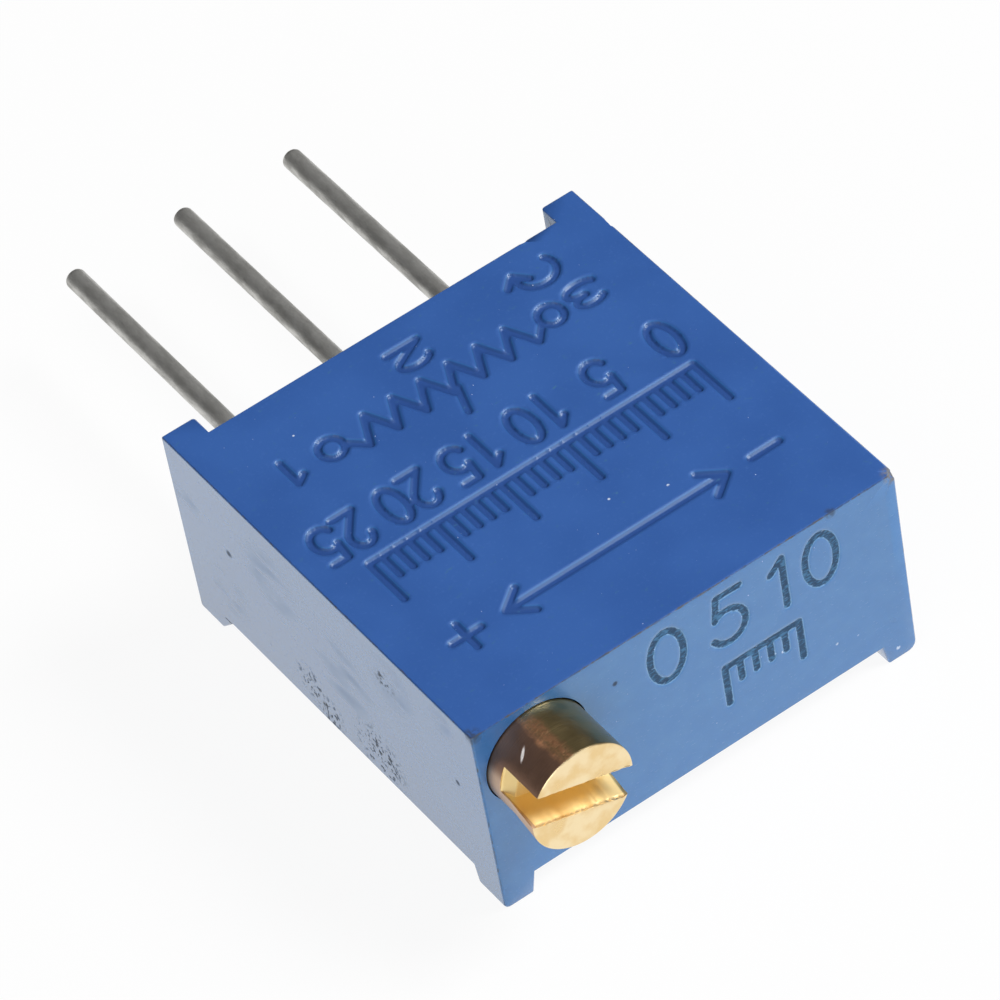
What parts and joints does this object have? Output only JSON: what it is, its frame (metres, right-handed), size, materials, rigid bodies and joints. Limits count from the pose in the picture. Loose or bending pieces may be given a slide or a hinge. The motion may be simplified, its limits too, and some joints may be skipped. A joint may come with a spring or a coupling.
{
  "type": "trimmer potentiometer",
  "caption": "Square multi-turn trimmer potentiometer: a slotted brass worm screw turns a wheel that sweeps a wiper over a cermet track, with in-line round leads.",
  "frame": {"origin": "centre of the overall box on X and Y, at the tips of the back feet", "axes": "+Z out of the marked face, +Y along the leads, -Y out of the screw's slotted head, X across"},
  "size_m": [0.0096, 0.0188, 0.0048],
  "materials": {
    "housing_plastic": "moulded blue polyester, matte marked face, worn edges",
    "screw_brass": "turned brass, dark tarnish on the flank",
    "seal_rubber": "silicone ring",
    "clip_bronze": "stamped spring bronze",
    "wheel_plastic": "natural acetal",
    "contact_metal": "precious metal alloy sheet",
    "ceramic": "white alumina ceramic",
    "cermet": "fired dark cermet film",
    "film_metal": "fired silver film",
    "lead_metal": "tinned copper wire",
    "solder": "solder",
    "epoxy": "cast dark blue epoxy"
  },
  "bodies": {
    "housing": {"housing": "housing_plastic", "screw_clip": "clip_bronze", "substrate": "ceramic", "resistive_track": "cermet", "collector_film": "film_metal", "end_film_1": "film_metal", "end_film_3": "film_metal", "terminal_1": "lead_metal", "terminal_2": "lead_metal", "terminal_3": "lead_metal", "solder_joint_1": "solder", "solder_joint_2": "solder", "solder_joint_3": "solder", "back_potting": "epoxy"},
    "screw": {"adjustment_screw": "screw_brass", "screw_o_ring": "seal_rubber"},
    "rotor": {"worm_wheel": "wheel_plastic", "wiper": "contact_metal"}
  },
  "joints": [
    {"name": "screw_turn", "type": "hinge", "parent": "housing", "child": "screw", "pos_m": [-0.00349, -0.00594, 0.00349], "axis": [0, 1, 0], "range_deg": [-4500, 4500]},
    {"name": "wheel_turn", "type": "hinge", "parent": "housing", "child": "rotor", "pos_m": [0.00036, -0.00294, 0.00349], "axis": [0, 0, 1], "range_deg": [-150, 150]}
  ],
  "couplings": [
    {"joint": "wheel_turn", "follows": "screw_turn", "ratio": 0.033333}
  ]
}
